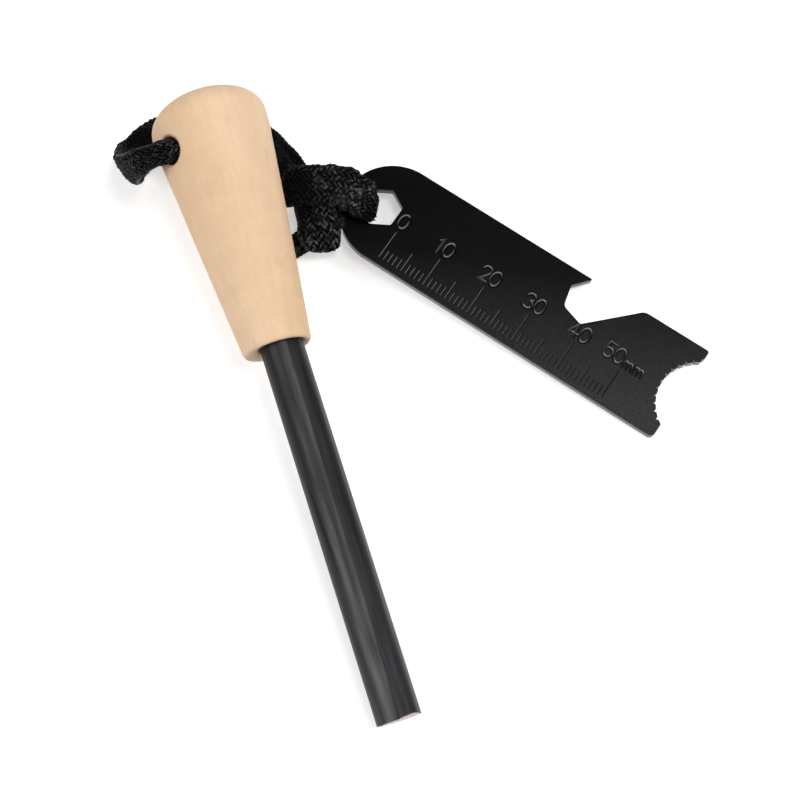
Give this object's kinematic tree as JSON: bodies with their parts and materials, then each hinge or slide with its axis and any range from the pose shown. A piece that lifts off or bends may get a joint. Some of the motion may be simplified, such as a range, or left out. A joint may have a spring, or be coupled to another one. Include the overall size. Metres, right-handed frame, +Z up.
{
  "type": "flint and steel fire starter",
  "caption": "Fire rod in a tapered wooden handle, tied by a flat braided cord to a steel striker with a ruler, a toothed scraper and an opener notch.",
  "frame": {"origin": "middle of the rigid pieces' box (rod, handle and striker) at its base, on the surface that the set lies on", "axes": "+Z up from the surface; +Y from the rod's tip towards the handle's thick end; +X towards the striker"},
  "size_m": [0.0968, 0.1283, 0.0247],
  "materials": {
    "wood": "pale close-grained hardwood, sanded smooth",
    "ferrocerium": "dark satin ferrocerium with lengthwise drawing marks",
    "glue": "clear amber cured glue",
    "steel": "blackened hardened steel, fine matt grain",
    "cord": "black braided polyester, flat and limp"
  },
  "bodies": {
    "handle": {"wood_handle": "wood", "ferro_rod": "ferrocerium", "rod_adhesive": "glue", "cord_handle_loop": "cord"},
    "lanyard": {"cord_striker_loop": "cord", "cord_knot": "cord", "cord_tail_left": "cord", "cord_tail_right": "cord"},
    "striker": {"striker_plate": "steel"}
  },
  "joints": [
    {"name": "lanyard_swing", "type": "hinge", "parent": "handle", "child": "lanyard", "pos_m": [-0.02213, 0.04352, 0.003], "axis": [0, 0, 1], "range_deg": [-8, 20]},
    {"name": "striker_turn", "type": "hinge", "parent": "lanyard", "child": "striker", "pos_m": [-0.0063, 0.03341, 0.0037], "axis": [0.0249, -0.031, 0.9992], "range_deg": [-15, 60]}
  ]
}
